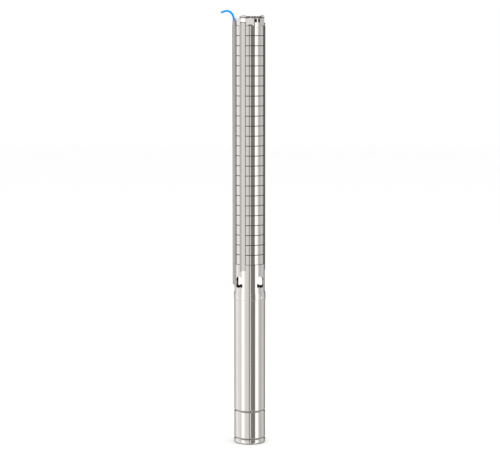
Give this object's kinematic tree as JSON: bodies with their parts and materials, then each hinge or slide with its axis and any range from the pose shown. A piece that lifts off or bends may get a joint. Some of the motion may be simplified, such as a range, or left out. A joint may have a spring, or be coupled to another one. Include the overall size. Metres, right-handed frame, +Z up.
{
  "type": "borehole submersible pump",
  "caption": "Slim multistage submersible well pump on a canned motor, with side straps, cable guard, ported inlet, check valve and threaded outlet.",
  "frame": {"origin": "centre of the motor's flat bottom end, on the pump's axis", "axes": "+Z up along the pump's axis towards the discharge, -Y towards the viewer of the picture, the cable guard lies towards -X"},
  "size_m": [0.1361, 0.097, 1.3183],
  "materials": {
    "polished_stainless": "polished",
    "brushed_stainless": "fine brushed",
    "machined_stainless": "turned",
    "black_rubber": "satin",
    "cast_iron": "cast",
    "carbon_graphite": "lapped",
    "electrical_steel": "laminated",
    "enamelled_copper": "wound wire",
    "moulded_rubber": "moulded",
    "blue_cable": "extruded sheath"
  },
  "bodies": {
    "housing": {"chamber_01": "polished_stainless", "chamber_02": "polished_stainless", "chamber_03": "polished_stainless", "chamber_04": "polished_stainless", "chamber_05": "polished_stainless", "chamber_06": "polished_stainless", "chamber_07": "polished_stainless", "chamber_08": "polished_stainless", "chamber_09": "polished_stainless", "chamber_10": "polished_stainless", "chamber_11": "polished_stainless", "chamber_12": "polished_stainless", "chamber_13": "polished_stainless", "chamber_14": "polished_stainless", "chamber_15": "polished_stainless", "chamber_16": "polished_stainless", "chamber_17": "polished_stainless", "chamber_18": "polished_stainless", "chamber_19": "polished_stainless", "chamber_20": "polished_stainless", "chamber_21": "polished_stainless", "top_chamber": "polished_stainless", "valve_housing": "polished_stainless", "discharge_head": "polished_stainless", "suction_interconnector": "polished_stainless", "motor_sleeve": "polished_stainless", "motor_top_flange": "polished_stainless", "motor_end_cap": "polished_stainless", "straps": "brushed_stainless", "cable_guard": "brushed_stainless", "motor_studs": "machined_stainless", "stud_nuts": "machined_stainless", "strap_nuts": "machined_stainless", "guard_screws": "machined_stainless", "valve_spring": "machined_stainless", "valve_guide": "machined_stainless", "diaphragm": "black_rubber", "shaft_seal": "black_rubber", "chamber_bearings": "black_rubber", "valve_seat": "black_rubber", "neck_rings": "black_rubber", "lower_bearing_housing": "cast_iron", "thrust_pads": "carbon_graphite", "motor_bearings": "carbon_graphite", "stator_core": "electrical_steel", "stator_windings": "enamelled_copper", "cable_plug": "moulded_rubber", "motor_cable": "blue_cable", "cable_tail": "blue_cable"},
    "motor_rotor": {"motor_shaft": "machined_stainless", "rotor_core": "electrical_steel", "thrust_disc": "carbon_graphite", "sand_slinger": "black_rubber"},
    "pump_rotor": {"pump_shaft": "machined_stainless", "impellers": "machined_stainless", "split_cones": "machined_stainless", "cone_nuts": "machined_stainless", "coupling": "machined_stainless"},
    "check_valve": {"valve_cone": "machined_stainless"}
  },
  "joints": [
    {"name": "motor_spin", "type": "hinge", "parent": "housing", "child": "motor_rotor", "pos_m": [0, 0, 0.25], "axis": [0, 0, 1], "continuous": true},
    {"name": "pump_spin", "type": "hinge", "parent": "housing", "child": "pump_rotor", "pos_m": [0, 0, 0.85], "axis": [0, 0, 1], "continuous": true},
    {"name": "valve_lift", "type": "slide", "parent": "housing", "child": "check_valve", "axis": [0, 0, 1], "range_m": [0, 0.01], "stiffness_N_per_m": 200, "springref_m": -0.01, "deforming": ["valve_spring"]}
  ],
  "couplings": [
    {"joint": "pump_spin", "follows": "motor_spin", "ratio": 1}
  ]
}
